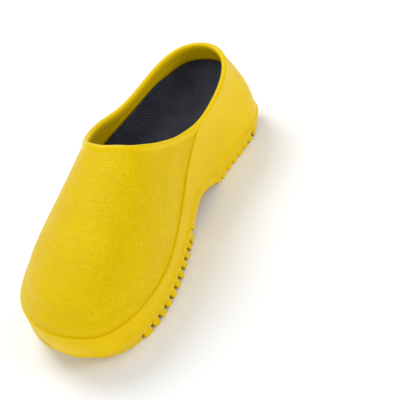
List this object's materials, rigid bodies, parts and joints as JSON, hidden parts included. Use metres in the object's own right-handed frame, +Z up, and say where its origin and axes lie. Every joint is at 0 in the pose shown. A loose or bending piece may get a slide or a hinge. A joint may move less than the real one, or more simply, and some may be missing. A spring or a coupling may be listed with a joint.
{
  "type": "rubber garden clog",
  "caption": "Slip-on moulded garden clog with closed grained toe, low heel cup, welted side, lugged sole and a loose textile-covered footbed.",
  "frame": {"origin": "on the ground, in the middle of the clog's length and width", "axes": "+Z up, toe towards -Y, heel towards +Y, +X towards the inner (medial) side of this right-foot clog"},
  "size_m": [0.1198, 0.2905, 0.1044],
  "materials": {
    "grained_rubber": "satin moulded polyurethane rubber with a fine leather grain",
    "smooth_rubber": "satin smooth moulded polyurethane rubber",
    "tread_rubber": "satin moulded rubber tread, finely ribbed",
    "navy_textile": "woven navy textile cover with a fine raised dot weave",
    "jute": "coarse natural jute mesh",
    "cork_latex": "pressed cork granules in latex",
    "liner_felt": "thin fibrous liner"
  },
  "bodies": {
    "shell": {"vamp": "grained_rubber", "heel_and_side_wall": "smooth_rubber", "collar_rim": "smooth_rubber", "welt_bead": "smooth_rubber", "midsole": "smooth_rubber", "outsole_plate": "smooth_rubber", "toe_bevel_pad": "tread_rubber", "heel_bevel_pad": "tread_rubber", "forefoot_lugs_medial": "tread_rubber", "forefoot_lugs_lateral": "tread_rubber", "forefoot_centre_blocks": "tread_rubber", "waist_lugs_medial": "tread_rubber", "waist_lugs_lateral": "tread_rubber", "shank_panel": "smooth_rubber", "heel_lugs_medial": "tread_rubber", "heel_lugs_lateral": "tread_rubber", "heel_breast_blocks": "tread_rubber", "heel_centre_blocks": "tread_rubber"},
    "footbed": {"footbed_cover": "navy_textile", "footbed_jute": "jute", "footbed_core": "cork_latex", "footbed_liner": "liner_felt"}
  },
  "joints": [
    {"name": "footbed_lift", "type": "hinge", "parent": "shell", "child": "footbed", "pos_m": [0, -0.137, 0.0285], "axis": [1, 0, 0], "range_deg": [0, 1.2]}
  ]
}
